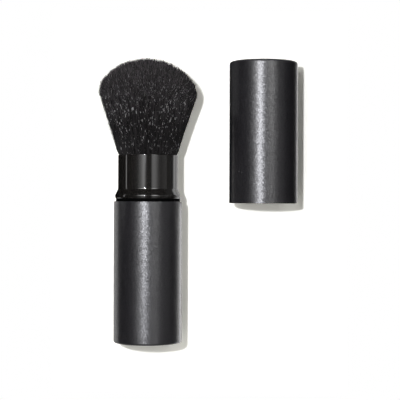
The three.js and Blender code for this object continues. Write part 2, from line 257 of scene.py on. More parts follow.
def new_material(name):
    """A material with a bare Principled shader: it, its nodes, its links and the shader."""
    material = bpy.data.materials.new(name)
    material.use_nodes = True
    nodes = material.node_tree.nodes
    shader = nodes["Principled BSDF"]
    return material, nodes, material.node_tree.links, shader


def noise(nodes, links, vector, scale, detail=2.0, roughness=0.5):
    """A noise texture on the given coordinates, in cycles a metre."""
    texture = nodes.new("ShaderNodeTexNoise")
    texture.inputs["Scale"].default_value = scale
    texture.inputs["Detail"].default_value = detail
    texture.inputs["Roughness"].default_value = roughness
    links.new(vector, texture.inputs["Vector"])
    return texture.outputs["Fac"]


def remap(nodes, links, value, low, high, to_low, to_high):
    """Stretches a range of values to another range, held at its ends."""
    node = nodes.new("ShaderNodeMapRange")
    node.inputs["From Min"].default_value = low
    node.inputs["From Max"].default_value = high
    node.inputs["To Min"].default_value = to_low
    node.inputs["To Max"].default_value = to_high
    links.new(value, node.inputs["Value"])
    return node.outputs["Result"]


def colour_between(nodes, links, value, low_colour, high_colour):
    """A colour that runs from one to the other with the value."""
    ramp = nodes.new("ShaderNodeValToRGB")
    ramp.color_ramp.elements[0].color = (*low_colour, 1)
    ramp.color_ramp.elements[1].color = (*high_colour, 1)
    links.new(value, ramp.inputs["Fac"])
    return ramp.outputs["Color"]


def bump(nodes, links, height, strength, distance):
    """The normal, tilted by a height."""
    node = nodes.new("ShaderNodeBump")
    node.inputs["Strength"].default_value = strength
    node.inputs["Distance"].default_value = distance
    links.new(height, node.inputs["Height"])
    return node.outputs["Normal"]


def arithmetic(nodes, links, operation, first, second, clamp=False):
    """A maths node on two values, each a socket or a number."""
    node = nodes.new("ShaderNodeMath")
    node.operation = operation
    node.use_clamp = clamp
    for place, value in enumerate((first, second)):
        if isinstance(value, (int, float)):
            node.inputs[place].default_value = value
        else:
            links.new(value, node.inputs[place])
    return node.outputs["Value"]


def mixed_colour(nodes, links, share, first):
    """A colour mix, its first colour and its share linked. Gives the second's socket and the result."""
    node = nodes.new("ShaderNodeMix")
    node.data_type = "RGBA"
    links.new(share, node.inputs["Factor"])
    links.new(first, node.inputs[MIX_FIRST])
    return node.inputs[MIX_SECOND], node.outputs[MIX_RESULT]


def object_coordinates(nodes):
    """The place on the piece, in its own metres."""
    return nodes.new("ShaderNodeTexCoord").outputs["Object"]


def facets(nodes, links, place, scale, tilt):
    """The normal, tilted a little at random in each of many small cells."""
    cells = nodes.new("ShaderNodeTexVoronoi")
    cells.inputs["Scale"].default_value = scale
    links.new(place, cells.inputs["Vector"])
    centred = nodes.new("ShaderNodeVectorMath")
    centred.operation = "SUBTRACT"
    centred.inputs[1].default_value = (0.5, 0.5, 0.5)
    links.new(cells.outputs["Color"], centred.inputs[0])
    small = nodes.new("ShaderNodeVectorMath")
    small.operation = "SCALE"
    small.inputs["Scale"].default_value = tilt
    links.new(centred.outputs["Vector"], small.inputs[0])
    tilted = nodes.new("ShaderNodeVectorMath")
    tilted.operation = "ADD"
    links.new(small.outputs["Vector"], tilted.inputs[0])
    links.new(nodes.new("ShaderNodeNewGeometry").outputs["Normal"], tilted.inputs[1])
    even = nodes.new("ShaderNodeVectorMath")
    even.operation = "NORMALIZE"
    links.new(tilted.outputs["Vector"], even.inputs[0])
    return even.outputs["Vector"]


def matt_anodised():
    """Black anodised aluminium, blasted before it was dyed, so that its skin is fine facets."""
    material, nodes, links, shader = new_material("matt_black_anodised")
    place = object_coordinates(nodes)
    grain = noise(nodes, links, place, GRAIN_SCALE)
    cloud = noise(nodes, links, place, 180)
    shade = colour_between(nodes, links, cloud, (0.0150, 0.0143, 0.0162), (0.0195, 0.0185, 0.0205))
    links.new(shade, shader.inputs["Base Color"])
    rough = remap(nodes, links, grain, 0.3, 0.7, *MATT_ROUGHNESS)
    links.new(rough, shader.inputs["Roughness"])
    skin = facets(nodes, links, place, FACET_SCALE, FACET_TILT)
    links.new(skin, shader.inputs["Normal"])
    around = nodes.new("ShaderNodeTangent")
    around.direction_type = "RADIAL"
    around.axis = "Y"
    links.new(around.outputs["Tangent"], shader.inputs["Tangent"])
    shader.inputs["Anisotropic"].default_value = MATT_ANISOTROPY
    shader.inputs["Anisotropic Rotation"].default_value = ACROSS_TANGENT
    shader.inputs["IOR"].default_value = MATT_IOR
    return material


def gloss_black():
    """Polished black lacquer over aluminium, with the faintest ripple."""
    material, nodes, links, shader = new_material("gloss_black")
    place = object_coordinates(nodes)
    ripple = noise(nodes, links, place, 160, 1.0)
    smear = noise(nodes, links, place, 900, 3.0)
    shade = colour_between(nodes, links, ripple, (0.0110, 0.0100, 0.0090), (0.0130, 0.0119, 0.0108))
    links.new(shade, shader.inputs["Base Color"])
    rough = remap(nodes, links, smear, 0.35, 0.7, *GLOSS_ROUGHNESS)
    links.new(rough, shader.inputs["Roughness"])
    links.new(bump(nodes, links, ripple, 0.02, 0.00002), shader.inputs["Normal"])
    shader.inputs["IOR"].default_value = GLOSS_IOR
    return material


def joint_shade_black():
    """Near-black, barely reflecting skirt inside the joint: painted shade for the deep gap between the
    bead and the handle's rim.
    """
    material, nodes, links, shader = new_material("joint_shade_black")
    cloud = noise(nodes, links, object_coordinates(nodes), 400)
    shade = colour_between(nodes, links, cloud, (0.0006, 0.0006, 0.0006), (0.0012, 0.0012, 0.0012))
    links.new(shade, shader.inputs["Base Color"])
    shader.inputs["Roughness"].default_value = 0.8
    shader.inputs["Specular IOR Level"].default_value = 0.04
    return material


def moulded(name, low_colour, high_colour, roughness=0.45):
    """Moulded plastic with a fine spark-eroded skin."""
    material, nodes, links, shader = new_material(name)
    place = object_coordinates(nodes)
    skin = noise(nodes, links, place, 2600, 3.0)
    cloud = noise(nodes, links, place, 130)
    links.new(
        colour_between(nodes, links, cloud, low_colour, high_colour),
        shader.inputs["Base Color"],
    )
    low, high = roughness * 0.85, roughness * 1.15
    links.new(remap(nodes, links, skin, 0.3, 0.7, low, high), shader.inputs["Roughness"])
    links.new(bump(nodes, links, skin, 0.2, 0.00003), shader.inputs["Normal"])
    return material


def drawn_metal(name, colour, roughness):
    """Bare metal with fine lines round its axis from drawing or turning."""
    material, nodes, links, shader = new_material(name)
    place = object_coordinates(nodes)
    stretch = nodes.new("ShaderNodeMapping")
    stretch.inputs["Scale"].default_value = (0.02, 1.0, 0.02)
    links.new(place, stretch.inputs["Vector"])
    lines = noise(nodes, links, stretch.outputs["Vector"], 5200)
    pale = tuple(min(1.0, part * 1.15) for part in colour)
    links.new(colour_between(nodes, links, lines, colour, pale), shader.inputs["Base Color"])
    low, high = roughness * 0.8, roughness * 1.25
    links.new(remap(nodes, links, lines, 0.3, 0.7, low, high), shader.inputs["Roughness"])
    links.new(bump(nodes, links, lines, 0.15, 0.00002), shader.inputs["Normal"])
    shader.inputs["Metallic"].default_value = 1.0
    return material


def cured_resin():
    """Amber resin that has soaked into the hair's roots."""
    material, nodes, links, shader = new_material("cured_resin")
    place = object_coordinates(nodes)
    cloud = noise(nodes, links, place, 700, 4.0)
    links.new(
        colour_between(nodes, links, cloud, (0.16, 0.07, 0.015), (0.42, 0.24, 0.08)),
        shader.inputs["Base Color"],
    )
    links.new(bump(nodes, links, cloud, 0.3, 0.0001), shader.inputs["Normal"])
    shader.inputs["Roughness"].default_value = 0.22
    return material


def crimped_hair():
    """Near-black synthetic hair, paler at its tips, with painted glints: bright dashes painted into its
    colour where its crimp would shine.
    """
    material, nodes, links, shader = new_material("crimped_black_hair")
    uv = nodes.new("ShaderNodeUVMap")
    uv.uv_map = "Hair"
    place = nodes.new("ShaderNodeSeparateXYZ")
    links.new(object_coordinates(nodes), place.inputs["Vector"])
    level = place.outputs["Y"]
    stretch = nodes.new("ShaderNodeMapping")
    stretch.inputs["Scale"].default_value = (1.0, HAIR_STRETCH, 1.0)
    links.new(uv.outputs["UV"], stretch.inputs["Vector"])
    strand = noise(nodes, links, stretch.outputs["Vector"], 1.0, 1.0)
    painted_glint_noise = noise(nodes, links, uv.outputs["UV"], 1.0, 1.0, 0.4)
    near_tip = remap(nodes, links, level, HAIR_PALER_FROM, TUFT_TIP, 0.0, 1.0)
    pale_share = remap(nodes, links, strand, *STRAND_EDGES, 0.0, 1.0)
    dark = colour_between(nodes, links, near_tip, *HAIR_DARK)
    pale, tone = mixed_colour(nodes, links, pale_share, dark)
    links.new(colour_between(nodes, links, near_tip, *HAIR_LIGHT), pale)
    # Painted glints: a mask of bright dashes, fewer low down and towards the tips, mixes a near-white
    # highlight colour into the hair's colour
    fewer_below = remap(nodes, links, level, COLLAR_TOP, PAINTED_GLINT_FULL_FROM, 0.45, 1.0)
    fewer_above = remap(nodes, links, level, FLARE_LEVEL, TUFT_TIP, 1.0, 0.1)
    allowed = arithmetic(nodes, links, "MULTIPLY", fewer_below, fewer_above)
    bright = remap(nodes, links, painted_glint_noise, *PAINTED_GLINT_EDGES, 0.0, 1.0)
    painted_glint_share = arithmetic(nodes, links, "MULTIPLY", allowed, bright)
    painted_glint_input, colour = mixed_colour(nodes, links, painted_glint_share, tone)
    painted_glint_input.default_value = PAINTED_GLINT_COLOUR
    links.new(colour, shader.inputs["Base Color"])
    shader.inputs["Roughness"].default_value = 0.45
    shader.inputs["IOR"].default_value = 1.26
    return material


MATT = matt_anodised()
GLOSS = gloss_black()
JOINT_SHADE_BLACK = joint_shade_black()
BLACK_PLASTIC = moulded("black_moulding", (0.006, 0.006, 0.0065), (0.012, 0.012, 0.0125))
ACETAL = moulded("natural_acetal", (0.62, 0.58, 0.5), (0.72, 0.69, 0.61), 0.38)
SILICONE = moulded("grey_silicone", (0.06, 0.06, 0.065), (0.085, 0.085, 0.09), 0.7)
SPRING_STEEL = drawn_metal("spring_steel", (0.48, 0.48, 0.5), 0.22)
FERRULE_METAL = drawn_metal("drawn_aluminium", (0.6, 0.6, 0.62), 0.3)
RESIN = cured_resin()
HAIR = crimped_hair()


def dress(piece, material):
    """Gives a piece one material and no other."""
    piece.data.materials.clear()
    piece.data.materials.append(material)


def dress_node(name, material):
    """Gives a CAD node that stays a better material."""
    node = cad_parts[name]
    if not node.data.materials:
        node.data.materials.append(material)
    for place in range(len(node.data.materials)):
        node.data.materials[place] = material


# Handle

def build_handle():
    """The handle's tube with its closed end."""
    outer = HANDLE_RADIUS
    bore = outer - HANDLE_WALL
    inner_corner = HANDLE_CORNER - HANDLE_WALL
    outline = [(0, 0)]
    outline += arc(outer - HANDLE_CORNER, HANDLE_CORNER, HANDLE_CORNER, -1, 0)
    outline += arc(outer - RIM_ROUND, HANDLE_END - RIM_ROUND, RIM_ROUND, 0, 1, RIM_STEPS)
    outline += arc(bore + RIM_ROUND, HANDLE_END - RIM_ROUND, RIM_ROUND, 1, 2, RIM_STEPS)
    outline += arc(bore - inner_corner, HANDLE_BASE_WALL + inner_corner, inner_corner, 0, -1)
    outline += [(0, HANDLE_BASE_WALL)]
    piece = turn("handle_tube", outline)
    dress(piece, MATT)
    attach(piece, "handle")
    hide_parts("handle_shell")


# Collar, with the bead that the cap snaps over

def bead_points(foot):
    """The bead swells to its widest place, and a straight flank runs from it up to the tube."""
    points = []
    steps = 2 * FINE_STEPS
    for i in range(steps):
        below = 1 - i / steps
        points.append(
            (
                BEAD_RADIUS - BEAD_UNDERCUT * (1 - math.sqrt(1 - below * below)),
                foot + BEAD_WIDEST * (1 - below),
            )
        )
    tilt = FLANK_TILT / 90
    widest = foot + BEAD_WIDEST
    points += arc(BEAD_RADIUS - BEAD_ROUND, widest, BEAD_ROUND, 0, tilt)
    radius, height = points[-1]
    run = radius - arc(COLLAR_RADIUS + FILLET, 0, FILLET, 2 + tilt, 2)[0][0]
    fillet = height + run / math.tan(math.radians(FLANK_TILT))
    fillet += FILLET * math.sin(math.radians(FLANK_TILT))
    points += arc(COLLAR_RADIUS + FILLET, fillet, FILLET, 2 + tilt, 2)
    return points


def build_collar():
    """The gloss collar on its bead, with the skirt that goes down into the handle, near-black below the
    bead as painted shade in the joint's gap.
    """
    foot = HANDLE_END + JOINT_GAP
    skirt = HANDLE_RADIUS - HANDLE_WALL - SKIRT_GAP
    skirt_bore = skirt - SKIRT_WALL
    bore = COLLAR_RADIUS - COLLAR_WALL
    shoulder = foot + BEAD_WIDEST + SHOULDER_RISE
    lip = COLLAR_LIP
    outline = [(skirt_bore, SKIRT_END), (skirt, SKIRT_END), (skirt, foot)]
    outline += bead_points(foot)
    outline += arc(COLLAR_RADIUS - lip, COLLAR_TOP - lip, lip, 0, 1)
    outline += [(bore, COLLAR_TOP), (bore, shoulder), (skirt_bore, shoulder)]
    outline += [outline[0]]
    piece = turn("collar", outline)
    dress(piece, GLOSS)
    # The skirt's faces below the bead's foot are near-black: painted shade for the joint's gap
    piece.data.materials.append(JOINT_SHADE_BLACK)
    for face in piece.data.polygons:
        if face.center.y < foot:
            face.material_index = 1
    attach(piece, "neck")
    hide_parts("collar_shell")


# Cap

def build_cap():
    """The cap's tube, open towards the handle's end."""
    bore = CAP_RADIUS - CAP_WALL
    inner_corner = CAP_CORNER - CAP_WALL
    inner_end = CAP_END - CAP_END_WALL
    outline = arc(CAP_RADIUS - RIM_ROUND, CAP_RIM + RIM_ROUND, RIM_ROUND, -1, 0, RIM_STEPS)
    outline += arc(CAP_RADIUS - CAP_CORNER, CAP_END - CAP_CORNER, CAP_CORNER, 0, 1)
    outline += [(0, CAP_END), (0, inner_end)]
    outline += arc(bore - inner_corner, inner_end - inner_corner, inner_corner, 1, 0)
    outline += arc(bore + RIM_ROUND, CAP_RIM + RIM_ROUND, RIM_ROUND, 2, 3, RIM_STEPS)
    outline += [outline[0]]
    piece = turn("cap_tube", outline, CAP_AXIS)
    dress(piece, MATT)
    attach(piece, "cap")
    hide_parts("cap_shell")


def build_liner():
    """The plastic cup inside the cap."""
    bore = LINER_RADIUS - LINER_WALL
    corner = CAP_CORNER - CAP_WALL
    lead = LINER_LEAD
    inner_end = LINER_END - LINER_END_WALL
    outline = arc(LINER_RADIUS - lead, LINER_FOOT + lead, lead, -1, 0, LEAD_STEPS)
    outline += arc(LINER_RADIUS - corner, LINER_END - corner, corner, 0, 1)
    outline += [(0, LINER_END), (0, inner_end)]
    outline += arc(bore - lead, inner_end - lead, lead, 1, 0, LEAD_STEPS)
    outline += arc(bore + lead, LINER_FOOT + lead, lead, 2, 3, LEAD_STEPS)
    outline += [outline[0]]
    piece = turn("cap_liner_cup", outline, CAP_AXIS)
    dress(piece, BLACK_PLASTIC)
    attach(piece, "cap")
    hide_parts("cap_liner")


# Tuft

def tuft_radius(level):
    """The tuft's outside radius at each level of an array of levels."""
    levels = [FERRULE_TOP, COLLAR_TOP, COLLAR_TOP + LIP_RISE]
    radii = [ROOT_RADIUS, MOUTH_RADIUS, LIP_RADIUS]
    share = (level - levels[2]) / (FLARE_LEVEL - levels[2])
    above = LIP_RADIUS + (TUFT_WIDEST - LIP_RADIUS) * (share - FLARE_SAG * share * (1 - share))
    return np.where(level < levels[2], np.interp(level, levels, radii), above)


def tip_level(share):
    """The level where a hair at that share of the radius meets the dome."""
    level = np.full_like(share, FLARE_LEVEL + DOME_HEIGHT / 2)
    for _ in range(24):
        across = np.clip(share * tuft_radius(level) / TUFT_WIDEST, 0, 1)
        aim = FLARE_LEVEL + DOME_HEIGHT * np.sqrt(1 - across * across)
        level = (level + aim) / 2
    return level


def pressed(points, outside):
    """Lifts the lower half of the tuft to the table that it lies on."""
    rest = HANDLE_RADIUS - TABLE_CLEARANCE
    press = np.minimum(1, rest / outside)
    points[..., 2] = np.where(points[..., 2] < 0, points[..., 2] * press, points[..., 2])
    return points


def strand_mesh(centres, thickness, hair_ids, lengths):
    """Vertices, faces and UVs of three-sided hairs along rows of centre points."""
    count, stations, _ = centres.shape
    sides = HAIR_SIDES
    turns = 2 * np.pi * np.arange(sides) / sides
    ring = np.stack([np.cos(turns), np.zeros(sides), np.sin(turns)], axis=1)
    verts = centres[:, :, None, :] + thickness[:, :, None, None] * ring[None, None]
    verts = verts.reshape(-1, 3)
    first = (np.arange(count) * stations * sides)[:, None, None]
    along = (np.arange(stations - 1) * sides)[None, :, None]
    corner = first + along + np.arange(sides)[None, None, :]
    beside = first + along + (np.arange(sides)[None, None, :] + 1) % sides
    quads = np.stack([corner, corner + sides, beside + sides, beside], axis=-1).reshape(-1, 4)
    tips = first[:, 0, :] + (stations - 1) * sides + np.array([[0, 2, 1]])
    feet = first[:, 0, :] + np.array([[0, 1, 2]])
    uv = np.empty((count, stations, sides, 2))
    uv[..., 0] = hair_ids[:, None, None]
    uv[..., 1] = lengths[:, :, None]
    return verts, quads, np.concatenate([tips, feet]), uv.reshape(-1, 2)


def mesh_object(name, verts, quads, tris, uv):
    """A mesh object with a UV map named Hair, from arrays."""
    mesh = bpy.data.meshes.new(name)
    loops = np.concatenate([quads.ravel(), tris.ravel()])
    totals = np.concatenate([np.full(len(quads), 4), np.full(len(tris), 3)])
    starts = np.concatenate([[0], np.cumsum(totals)[:-1]])
    mesh.vertices.add(len(verts))
    mesh.vertices.foreach_set("co", verts.ravel())
    mesh.loops.add(len(loops))
    mesh.loops.foreach_set("vertex_index", loops)
    mesh.polygons.add(len(totals))
    mesh.polygons.foreach_set("loop_start", starts)
    mesh.polygons.foreach_set("use_smooth", np.ones(len(totals), bool))
    layer = mesh.uv_layers.new(name="Hair")
    layer.data.foreach_set("uv", uv[loops].ravel())
    mesh.update(calc_edges=True)
    mesh.validate()
    piece = bpy.data.objects.new(name, mesh)
    bpy.context.scene.collection.objects.link(piece)
    return piece


def leant(points):
    """Leans the tuft a little to the right above the collar, as its hair was combed."""
    free = np.clip((points[..., 1] - COLLAR_TOP) / LEAN_RUN, 0, 1)
    points[..., 0] += TUFT_LEAN * free
    return points


def hairs(random, count, shares, middle, half_angle, stations, start_level=None):
    """A bunch of hairs inside one wedge of the tuft, gathered in small locks.

    They start at the level given, or else somewhere below their tips.
    """
    low_share, high_share = shares
    locks = count // LOCK_HAIRS
    count = locks * LOCK_HAIRS
    lock = np.repeat(np.arange(locks), LOCK_HAIRS)
    share = np.sqrt(random.uniform(low_share**2, high_share**2, locks))[lock]
    angle = middle + random.uniform(-half_angle, half_angle, locks)[lock]
    tips = tip_level(share) - random.gamma(LOCK_SHAPE, LOCK_SCATTER, locks)[lock]
    tips -= DOME_TILT * share * TUFT_WIDEST * np.sin(angle)
    tips += random.normal(HAIR_RISE, HAIR_SCATTER, count)
    stray = random.uniform(0, 1, count) < STRAY_SHARE
    tips += stray * random.uniform(*STRAY_RISES_MM, count) * MM
    if start_level is None:
        starts = tips - random.uniform(*INNER_LENGTHS_MM, count) * MM
    else:
        starts = np.full(count, start_level)
    t = np.linspace(0, 1, stations)[None, :]
    level = starts[:, None] + (tips - starts)[:, None] * t
    outside = tuft_radius(level)
    radius = share[:, None] * outside
    wave_angle = random.uniform(0, 2 * np.pi, locks)[lock][:, None]
    wave_phase = random.uniform(0, 2 * np.pi, locks)[lock][:, None]
    wave_length = random.uniform(*WAVE_LENGTHS_MM, locks)[lock][:, None] * MM
    free = np.clip((level - COLLAR_TOP) / FREE_RUN, 0, 1)
    wave = WAVE_HEIGHT * free * np.sin(2 * np.pi * level / wave_length + wave_phase)
    lean = random.normal(0, LOCK_LEAN, (2, locks))[:, lock, None] * free**1.5
    beside = random.normal(0, HAIR_ASIDE, (2, count))
    beside += stray * random.normal(0, STRAY_ASIDE, (2, count))
    beside = beside[:, :, None] * (ROOT_ASIDE_SHARE + (1 - ROOT_ASIDE_SHARE) * free)
    x = radius * np.sin(angle)[:, None] + wave * np.cos(wave_angle) + lean[0] + beside[0]
    z = radius * np.cos(angle)[:, None] + wave * np.sin(wave_angle) + lean[1] + beside[1]
    centres = leant(pressed(np.stack([x, level, z], axis=-1), outside))
    rough = random.uniform(0.75, 1.25, count)[:, None]
    taper = np.interp(t, [0, 0.8, 1], [1, 0.9, 0.35])
    thickness = HAIR_THICKNESS * rough * taper
    ids = random.uniform(0, LOCK_ID_RANGE, locks)[lock] + random.uniform(0, HAIR_ID_RANGE, count)
    # Places the painted glints along each hair: its UV length runs in glint lengths, shifted for each
    # lock
    lengths = level / PAINTED_GLINT_LENGTH + random.uniform(0, PAINTED_GLINT_SHIFT, locks)[lock][:, None]
    return strand_mesh(centres, thickness, ids, lengths)


def core_mesh(middle, half_angle):
    """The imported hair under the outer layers: a closed slice of the tuft, a little smaller."""
    steps, rise, share = CORE_STEPS, CORE_RINGS, CORE_SHARE
    angles = middle + half_angle * np.linspace(-1, 1, steps + 1)
    start = FERRULE_TOP - CORE_OVERLAP
    top = FLARE_LEVEL + DOME_HEIGHT * share
    bend = np.linspace(0, 1, rise)
    levels = start + (top - start) * np.sin(bend * np.pi / 2)
    radii = share * tuft_radius(levels)
    dome = np.clip((levels - FLARE_LEVEL) / (top - FLARE_LEVEL), 0, 1)
    radii = np.where(levels > FLARE_LEVEL, share * TUFT_WIDEST * np.sqrt(1 - dome * dome), radii)
    radii = np.maximum(radii, CORE_LEAST_RADIUS)
    outside = tuft_radius(levels)
    rings = []
    for level, radius, around in zip(levels, radii, outside):
        ring = [[0, level, 0]]
        ring += [[radius * math.sin(a), level, radius * math.cos(a)] for a in angles]
        rings.append(leant(pressed(np.array(ring), np.full(len(ring), around))))
    verts = np.concatenate(rings)
    side = steps + 2
    quads = []
    for k in range(rise - 1):
        for i in range(side):
            j = (i + 1) % side
            quads.append([k * side + i, (k + 1) * side + i, (k + 1) * side + j, k * side + j])
    tris = []
    last = (rise - 1) * side
    for i in range(1, side - 1):
        tris.append([0, i, i + 1])
        tris.append([last, last + i + 1, last + i])
    uv = np.zeros((len(verts), 2))
    return verts, np.array(quads), np.array(tris), uv


def join_parts(parts):
    """Stacks vertex, face and UV arrays of several parts into one set."""
    verts, quads, tris, uvs = [], [], [], []
    offset = 0
    for part_verts, part_quads, part_tris, part_uv in parts:
        verts.append(part_verts)
        quads.append(part_quads + offset)
        tris.append(part_tris + offset)
        uvs.append(part_uv)
        offset += len(part_verts)
    return (
        np.concatenate(verts),
        np.concatenate(quads),
        np.concatenate(tris),
        np.concatenate(uvs),
    )


def build_tuft():
    """The tuft in wedges, each a piece of its own on the brush head."""
    half = math.pi / WEDGES
    for number in range(WEDGES):
        random = np.random.RandomState(100 + number)
        middle = 2 * math.pi * (number + 0.5) / WEDGES
        outer = hairs(random, OUTER_HAIRS, OUTER_SHARES, middle, half, OUTER_STATIONS, OUTER_FOOT)
        inner = hairs(random, INNER_HAIRS, INNER_SHARES, middle, half, INNER_STATIONS)
        parts = join_parts([outer, inner, core_mesh(middle, half)])
        piece = mesh_object("tuft_%02d" % (number + 1), *parts)
        dress(piece, HAIR)
        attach(piece, "brush_head")
        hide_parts("bristles_%d" % (number * 4 // WEDGES + 1))
        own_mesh(piece)


build_handle()
build_collar()
build_cap()
build_liner()
build_tuft()

dress_node("guide_tube", BLACK_PLASTIC)
dress_node("end_plug", BLACK_PLASTIC)
dress_node("carrier", BLACK_PLASTIC)
dress_node("spiral_sleeve", ACETAL)
dress_node("drag_washer", SILICONE)
dress_node("retaining_ring", SPRING_STEEL)
dress_node("ferrule", FERRULE_METAL)
dress_node("glue_plug", RESIN)


# Stage, light and camera

SUBJECT = Vector((21 * MM, 56 * MM, 0))

# The table is whiter to the camera than to the light that it gives back to the brush. Beyond
# the sheet round the subject it fades to plain white.
FLOOR_SIZE = 6.0
FLOOR_DROP = 0.05 * MM
FLOOR_SEEN = (1.66, 1.64, 1.52, 1)
FLOOR_LIT = (0.94, 0.925, 0.885, 1)
SHEET_HALF_X = 52 * MM
SHEET_HALF_Y = 70 * MM
SHEET_FADE = 8 * MM

KEY_PLACE = Vector((-90 * MM, 132 * MM, 620 * MM))
KEY_SIZE = 23 * MM
KEY_WATTS = 2.05
KEY_COLOUR = (0.965, 0.975, 1.04)
WORLD_COLOUR = (0.07, 0.066, 0.055, 1)

# The roof is a long curved diffuser. Each pair is an angle from straight up and its strength.
ROOF_RADIUS = 0.9
ROOF_LENGTH = 2.4
ROOF_CUTS = 63
ROOF_BANDS = [
    (-78, 0.02), (-58, 0.02), (-50, 0.05), (-42, 0.12), (-37, 0.26), (-33, 0.55), (-27, 0.82),
    (-21, 1.45), (-18, 1.75), (-15, 2.0), (-11, 1.2), (-7, 0.4), (-2, 0.06), (12, 0.06), (15, 0.55),
    (18, 1.15), (27, 1.25), (34, 0.85), (40, 0.45), (46, 0.2), (54, 0.15), (62, 0.22),
    (74, 0.28), (82, 0.2), (88, 0.03),
]
ROOF_FULL = 2.0
# Each pair is a place along Y and how many times the roof's strength is there.
ROOF_ROWS = [
    (-0.3, 0.3), (-0.08, 0.55), (0.01, 0.88), (0.07, 1.0), (0.19, 1.0), (0.22, 6.5), (0.36, 6.5),
    (0.44, 0.12), (1.1, 0.03),
]
ROOF_ROW_FULL = 7.0
# Between these angles in degrees, towards its sides, the limit on its rows falls to 1.
ROOF_PLAIN_FROM = 34
ROOF_PLAIN_AT = 43
# For the table and whatever else is dull, its rows are limited and its near end is filled up.
ROOF_SOFTEST = 3.2
ROOF_FILL = 0.86
ROOF_FILL_EDGE = 0.02

CARD_BLACK = (0.01, 0.01, 0.01, 1)
CARD_ROUGHNESS = 0.9

# The camera looks straight down. Pixels are those of the picture, and a pixel's size holds at
# the brush's axis.
FOCAL_PIXELS = 1257.0
FRAME_PIXELS = 400.0
PIXEL = 0.3976 * MM
AXIS_PIXEL_X = 147.9
BASE_PIXEL_Y = 342.5
YAW_DEGREES = 0.2
SENSOR_WIDTH_MM = 36.0
CLIP_NEAR = 0.01
CLIP_FAR = 10.0

# A limit on light that comes by way of several surfaces, against stray bright dots
INDIRECT_LIMIT = 2.0


def strength_ramp(nodes, links, share, points, full):
    """A grey ramp through pairs of place and strength, each strength as a share of the full one."""
    node = nodes.new("ShaderNodeValToRGB")
    elements = node.color_ramp.elements
    while len(elements) < len(points):
        elements.new(0.5)
    first, last = points[0][0], points[-1][0]
    for element, (place, strength) in zip(elements, points):
        tone = strength / full
        element.position = (place - first) / (last - first)
        element.color = (tone, tone, tone, 1)
    links.new(share, node.inputs["Fac"])
    return node.outputs["Color"]


def build_floor():
    """A white table. Far from the brush it is plain white to whatever looks at it."""
    bpy.ops.object.select_all(action="DESELECT")
    bpy.ops.mesh.primitive_plane_add(size=FLOOR_SIZE, location=(0, 0, FLOOR_LEVEL - FLOOR_DROP))
    floor = bpy.context.object
    floor.name = "floor"
    material, nodes, links, shader = new_material("white_table")
    nodes.remove(shader)
    path = nodes.new("ShaderNodeLightPath")
    seen = path.outputs["Is Camera Ray"]
    seen = arithmetic(nodes, links, "ADD", seen, path.outputs["Is Glossy Ray"], True)
    seen = arithmetic(nodes, links, "ADD", seen, path.outputs["Is Transmission Ray"], True)
    lit = nodes.new("ShaderNodeBsdfDiffuse")
    lit.inputs["Color"].default_value = FLOOR_LIT
    shown = nodes.new("ShaderNodeBsdfDiffuse")
    shown.inputs["Color"].default_value = FLOOR_SEEN
    near = nodes.new("ShaderNodeMixShader")
    links.new(path.outputs["Is Camera Ray"], near.inputs["Fac"])
    links.new(lit.outputs["BSDF"], near.inputs[1])
    links.new(shown.outputs["BSDF"], near.inputs[2])
    place = nodes.new("ShaderNodeSeparateXYZ")
    links.new(object_coordinates(nodes), place.inputs["Vector"])
    beyond = []
    for axis, middle, half in (("X", SUBJECT.x, SHEET_HALF_X), ("Y", SUBJECT.y, SHEET_HALF_Y)):
        off = arithmetic(nodes, links, "SUBTRACT", place.outputs[axis], middle)
        off = arithmetic(nodes, links, "ABSOLUTE", off, 0.0)
        beyond.append(arithmetic(nodes, links, "SUBTRACT", off, half))
    outside = arithmetic(nodes, links, "MAXIMUM", beyond[0], beyond[1])
    far = remap(nodes, links, outside, 0.0, SHEET_FADE, 0.0, 1.0)
    share = arithmetic(nodes, links, "MULTIPLY", far, seen)
    glow = nodes.new("ShaderNodeEmission")
    mix = nodes.new("ShaderNodeMixShader")
    links.new(share, mix.inputs["Fac"])
    links.new(near.outputs["Shader"], mix.inputs[1])
    links.new(glow.outputs["Emission"], mix.inputs[2])
    links.new(mix.outputs["Shader"], nodes["Material Output"].inputs["Surface"])
    dress(floor, material)


def card(name, across, foot, top, near_end, far_end, glow=0.0, blocks_fill=False, seen_from=0):
    """An upright card along Y, at a place across the table, seen in reflections alone.

    It can be seen from both sides, or only from the side of +X (1) or of -X (-1). With
    blocks_fill it also keeps light from the side off the table. Its glow never lights the table.
    """
    bpy.ops.object.select_all(action="DESELECT")
    middle = (across, (near_end + far_end) / 2, (foot + top) / 2)
    bpy.ops.mesh.primitive_plane_add(size=1, location=middle, rotation=(0, math.pi / 2, 0))
    sheet = bpy.context.object
    sheet.name = name
    sheet.scale = (top - foot, far_end - near_end, 1)
    sheet.visible_camera = False
    sheet.visible_shadow = False
    sheet.visible_diffuse = blocks_fill
    material, nodes, links, shader = new_material(name)
    shader.inputs["Base Color"].default_value = CARD_BLACK
    shader.inputs["Roughness"].default_value = CARD_ROUGHNESS
    shader.inputs["Specular IOR Level"].default_value = 0.0
    shader.inputs["Emission Color"].default_value = (1, 1, 1, 1)
    strayed = nodes.new("ShaderNodeLightPath").outputs["Diffuse Depth"]
    kept = arithmetic(nodes, links, "SUBTRACT", 1.0, strayed, True)
    strength = arithmetic(nodes, links, "MULTIPLY", kept, glow)
    links.new(strength, shader.inputs["Emission Strength"])
    if seen_from:
        side = nodes.new("ShaderNodeNewGeometry")
        clear = nodes.new("ShaderNodeBsdfTransparent")
        mix = nodes.new("ShaderNodeMixShader")
        front, back = (1, 2) if seen_from > 0 else (2, 1)
        links.new(side.outputs["Backfacing"], mix.inputs["Fac"])
        links.new(shader.outputs["BSDF"], mix.inputs[front])
        links.new(clear.outputs["BSDF"], mix.inputs[back])
        links.new(mix.outputs["Shader"], nodes["Material Output"].inputs["Surface"])
    material.cycles.emission_sampling = "NONE"
    dress(sheet, material)


